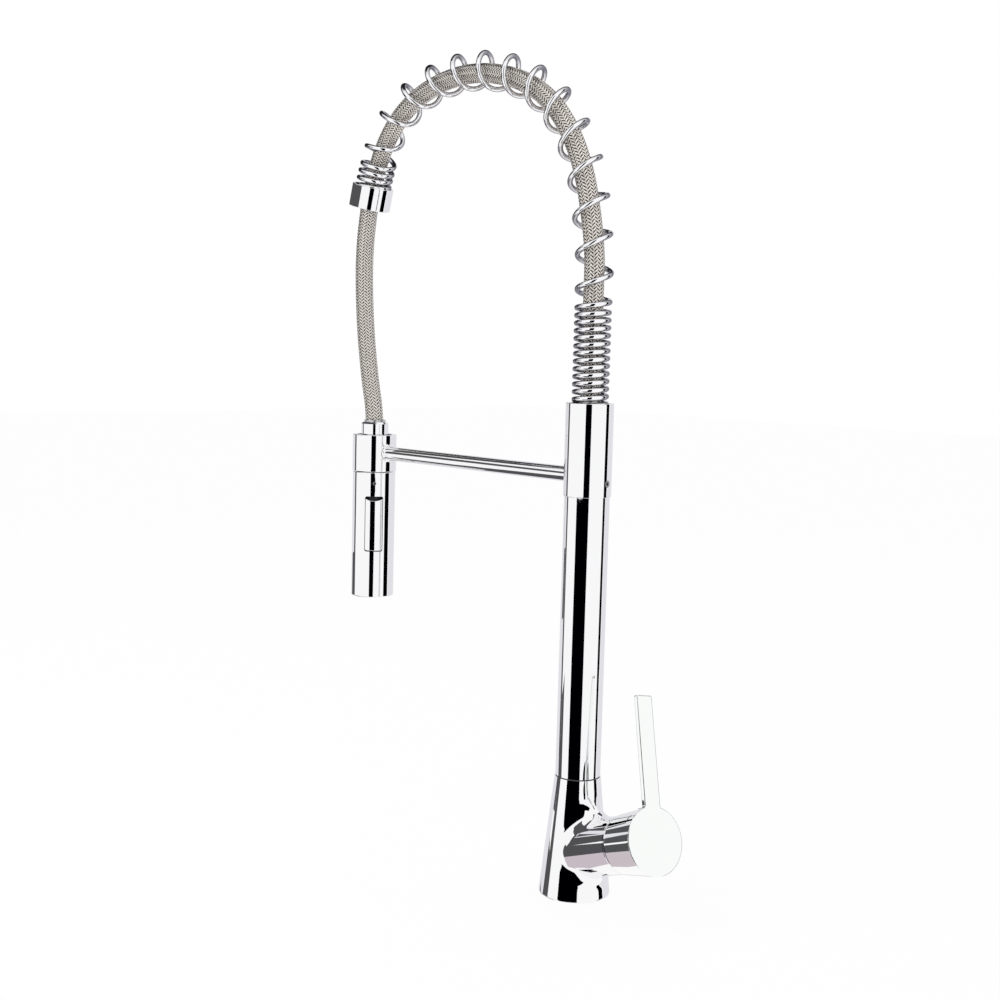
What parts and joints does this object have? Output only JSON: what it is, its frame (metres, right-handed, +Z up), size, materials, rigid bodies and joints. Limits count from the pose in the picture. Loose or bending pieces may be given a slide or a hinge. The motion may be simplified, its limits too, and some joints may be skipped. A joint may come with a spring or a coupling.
{
  "type": "kitchen tap",
  "caption": "Deck mixer tap: tapered body with side lever on a leaning branch, swivelling column, sprung hose arch and a pull-down spray head resting in a holder ring",
  "frame": {"origin": "centre of the body's seat on the deck, which is z = 0, on the axis the column swivels about", "axes": "+Z up along the column, the spout reaches along -X at rest, the lever is on the +X side"},
  "size_m": [0.3573, 0.0603, 0.6049],
  "materials": {
    "chrome_body": "polished chrome plate, mirror bright",
    "chrome_trim": "polished chrome plate, mirror bright",
    "chrome_handle": "polished chrome plate, mirror bright",
    "chrome_column": "polished chrome plate, mirror bright",
    "chrome_collar": "polished chrome plate, mirror bright",
    "chrome_arm": "polished chrome plate, mirror bright",
    "chrome_holder": "polished chrome plate, mirror bright",
    "chrome_end_collar": "polished chrome plate, mirror bright",
    "chrome_nut": "polished chrome plate, mirror bright",
    "chrome_spray": "polished chrome plate, mirror bright",
    "chrome_button": "polished chrome plate, mirror bright",
    "chrome_spring": "polished chrome plate, mirror bright",
    "slip_plastic": "dark low-friction plastic washer",
    "seal_rubber": "black moulded rubber",
    "cartridge_plastic": "off-white moulded engineering plastic",
    "disc_ceramic": "lapped ceramic, pale cream",
    "brass": "machined brass, unplated",
    "core_plastic": "black moulded plastic",
    "face_plastic": "dark grey moulded plastic",
    "nozzle_rubber": "grey silicone rubber nozzles",
    "aerator_plastic": "pale grey mesh insert",
    "valve_plastic": "white moulded plastic",
    "bush_plastic": "black low-friction plastic",
    "hose_braid": "braided stainless wire over a rubber hose, warm grey",
    "crimp_steel": "rolled stainless sleeve",
    "screw_steel": "plain stainless steel",
    "index_plastic": "glossy grey plug"
  },
  "bodies": {
    "base": {"body": "chrome_body", "base_gasket": "seal_rubber", "cartridge_housing": "cartridge_plastic", "cartridge_seals": "seal_rubber", "fixed_disc": "disc_ceramic", "cartridge_cap": "cartridge_plastic", "cartridge_nut": "brass", "dome_ring": "chrome_trim"},
    "mixer": {"carrier": "cartridge_plastic", "tilt_pin": "screw_steel"},
    "handle": {"lever_handle": "chrome_handle", "handle_screw": "screw_steel", "index_plug": "index_plastic", "stem": "brass"},
    "shut_off_disc": {"moving_disc": "disc_ceramic"},
    "spout": {"slip_ring": "slip_plastic", "swivel_spigot": "brass", "spigot_seals": "seal_rubber", "retaining_ring": "screw_steel", "column_tube": "chrome_column", "column_head": "brass", "collar": "chrome_collar", "collar_screw": "screw_steel", "holder_arm": "chrome_arm", "holder_ring": "chrome_holder", "holder_bush": "bush_plastic", "base_nipple": "brass", "base_crimp": "crimp_steel", "hose": "hose_braid", "spring": "chrome_spring", "end_collar": "chrome_end_collar", "end_bush": "bush_plastic"},
    "hose_end": {"spray_nipple": "brass", "nipple_seal": "seal_rubber", "spray_crimp": "crimp_steel"},
    "spray": {"spray_shell": "chrome_spray", "spray_core": "core_plastic", "inlet_nut": "chrome_nut", "shell_screw": "screw_steel", "check_valve": "valve_plastic", "spray_face": "face_plastic", "nozzle_ring": "nozzle_rubber", "aerator": "aerator_plastic", "button_pin": "screw_steel", "valve_spring": "screw_steel"},
    "button": {"button": "chrome_button"},
    "valve": {"valve_plunger": "screw_steel"}
  },
  "joints": [
    {"name": "spout_swivel", "type": "hinge", "parent": "base", "child": "spout", "pos_m": [0, 0, 0.086], "axis": [0, 0, 1], "range_deg": [-180, 180]},
    {"name": "mixer_turn", "type": "hinge", "parent": "base", "child": "mixer", "pos_m": [0.0398, -0.00566, 0.04557], "axis": [0.9255, -0.1317, 0.3551], "range_deg": [-35.6, 54.4]},
    {"name": "lever_tilt", "type": "hinge", "parent": "mixer", "child": "handle", "pos_m": [0.0398, -0.00566, 0.04557], "axis": [0.1953, 0.9693, -0.1495], "range_deg": [0, 20]},
    {"name": "disc_slide", "type": "slide", "parent": "mixer", "child": "shut_off_disc", "axis": [-0.3245, 0.2077, 0.9228], "range_m": [0, 0.0022]},
    {"name": "spray_pull", "type": "slide", "parent": "spout", "child": "hose_end", "axis": [0, 0, -1], "range_m": [0, 0.045], "deforming": ["hose"]},
    {"name": "spray_turn", "type": "hinge", "parent": "hose_end", "child": "spray", "pos_m": [-0.237, 0, 0.29], "axis": [0, 0, 1], "continuous": true},
    {"name": "button_press", "type": "hinge", "parent": "spray", "child": "button", "pos_m": [-0.22732, -0.00743, 0.256], "axis": [0.6088, 0.7934, 0], "range_deg": [0, 4], "stiffness_Nm_per_rad": 0.5, "springref_deg": -1.15},
    {"name": "valve_push", "type": "slide", "parent": "spray", "child": "valve", "axis": [-0.7934, 0.6088, 0], "range_m": [0, 0.0018], "deforming": ["valve_spring"]}
  ],
  "couplings": [
    {"joint": "disc_slide", "follows": "lever_tilt", "m_per_rad": 0.006},
    {"joint": "valve_push", "follows": "button_press", "m_per_rad": 0.024}
  ]
}
